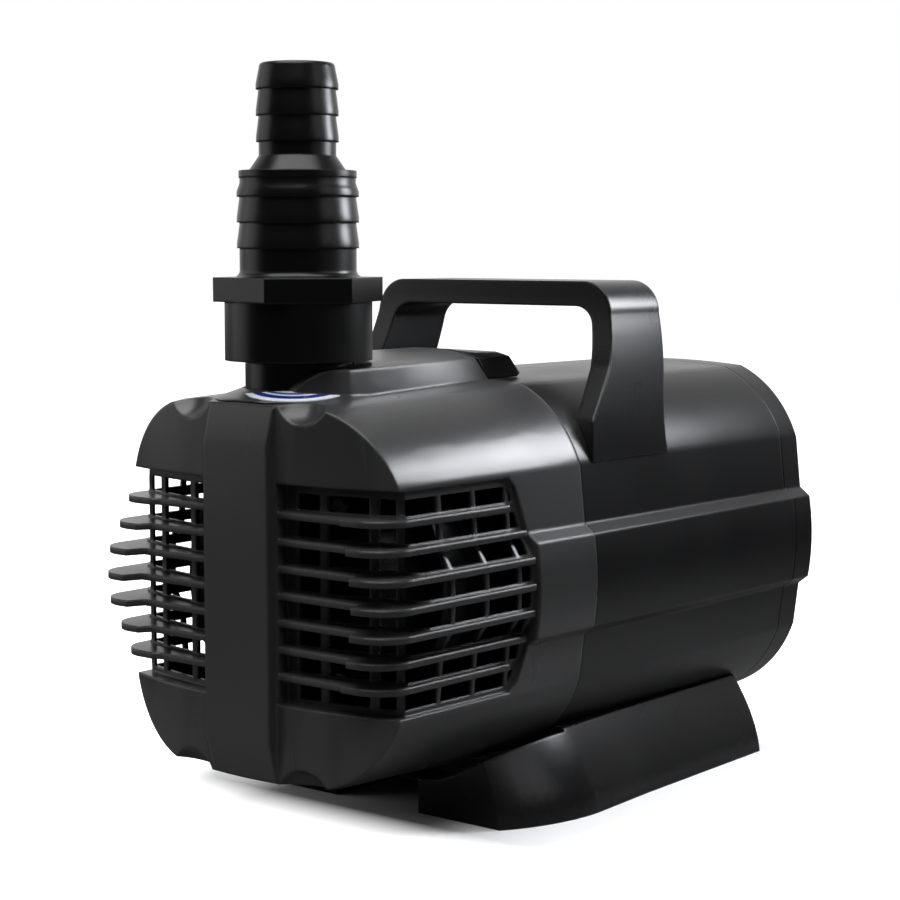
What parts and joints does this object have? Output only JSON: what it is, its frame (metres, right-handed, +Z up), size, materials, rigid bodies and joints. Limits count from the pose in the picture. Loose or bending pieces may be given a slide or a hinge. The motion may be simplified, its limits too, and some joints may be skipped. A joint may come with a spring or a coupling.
{
  "type": "fountain submersible pump",
  "caption": "Submersible fountain pump with a finned strainer nose, carrying handle, sled base and a two-step barbed hose adapter.",
  "frame": {"origin": "middle of the footprint on the floor", "axes": "+Z up along the outlet, -X towards the strainer nose, +X towards the rear cap"},
  "size_m": [0.2536, 0.1384, 0.256],
  "materials": {
    "cage_plastic": "satin, fine texture",
    "shell_plastic": "satin",
    "adapter_plastic": "satin",
    "latch_plastic": "glossy",
    "inner_plastic": "as moulded",
    "label_film": "printed film",
    "seal_rubber": "matte",
    "lamination_steel": "stamped",
    "copper_winding": "varnished",
    "ferrite": "sintered",
    "stainless_steel": "brushed",
    "bush_ceramic": "polished ceramic"
  },
  "bodies": {
    "pump_body": {"strainer_cage": "cage_plastic", "motor_shell": "shell_plastic", "rear_cap": "shell_plastic", "carry_handle": "shell_plastic", "base_foot": "shell_plastic", "outlet_pipe": "shell_plastic", "pipe_o_ring": "seal_rubber", "name_label": "label_film", "latch_pin": "stainless_steel", "volute_housing": "inner_plastic", "volute_cover": "inner_plastic", "volute_o_ring": "seal_rubber", "bearing_plate": "inner_plastic", "front_bearing": "bush_ceramic", "front_boot": "seal_rubber", "rear_bearing": "bush_ceramic", "rear_boot": "seal_rubber", "separation_can": "inner_plastic", "can_o_ring": "seal_rubber", "stator_stack": "lamination_steel", "stator_coils": "copper_winding", "motor_housing": "inner_plastic", "housing_end_cover": "inner_plastic", "vibration_dampers": "seal_rubber", "volute_screws": "stainless_steel", "housing_screws": "stainless_steel", "end_cover_screws": "stainless_steel", "cap_screws": "stainless_steel", "sled_screws": "stainless_steel", "handle_screws": "stainless_steel", "cable_gland": "shell_plastic", "gland_seal": "seal_rubber", "gland_nut": "shell_plastic"},
    "rotor": {"rotor_shaft": "stainless_steel", "rotor_magnet": "ferrite", "thrust_washers": "stainless_steel", "impeller": "inner_plastic"},
    "outlet_seal": {"outlet_gasket": "seal_rubber"},
    "adapter": {"hose_adapter": "adapter_plastic"},
    "latch": {"cage_latch": "latch_plastic"}
  },
  "joints": [
    {"name": "rotor_spin", "type": "hinge", "parent": "pump_body", "child": "rotor", "pos_m": [0, 0, 0.084], "axis": [1, 0, 0], "continuous": true},
    {"name": "adapter_rise", "type": "slide", "parent": "pump_body", "child": "outlet_seal", "axis": [0, 0, 1], "range_m": [0, 0.01626]},
    {"name": "adapter_turn", "type": "hinge", "parent": "outlet_seal", "child": "adapter", "pos_m": [-0.09425, 0, 0.17], "axis": [0, 0, 1], "range_deg": [0, 2520]},
    {"name": "latch_lift", "type": "hinge", "parent": "pump_body", "child": "latch", "pos_m": [-0.006, 0, 0.1522], "axis": [0, 1, 0], "range_deg": [0, 25]}
  ],
  "couplings": [
    {"joint": "adapter_rise", "follows": "adapter_turn", "m_per_rad": 0.00036749}
  ]
}
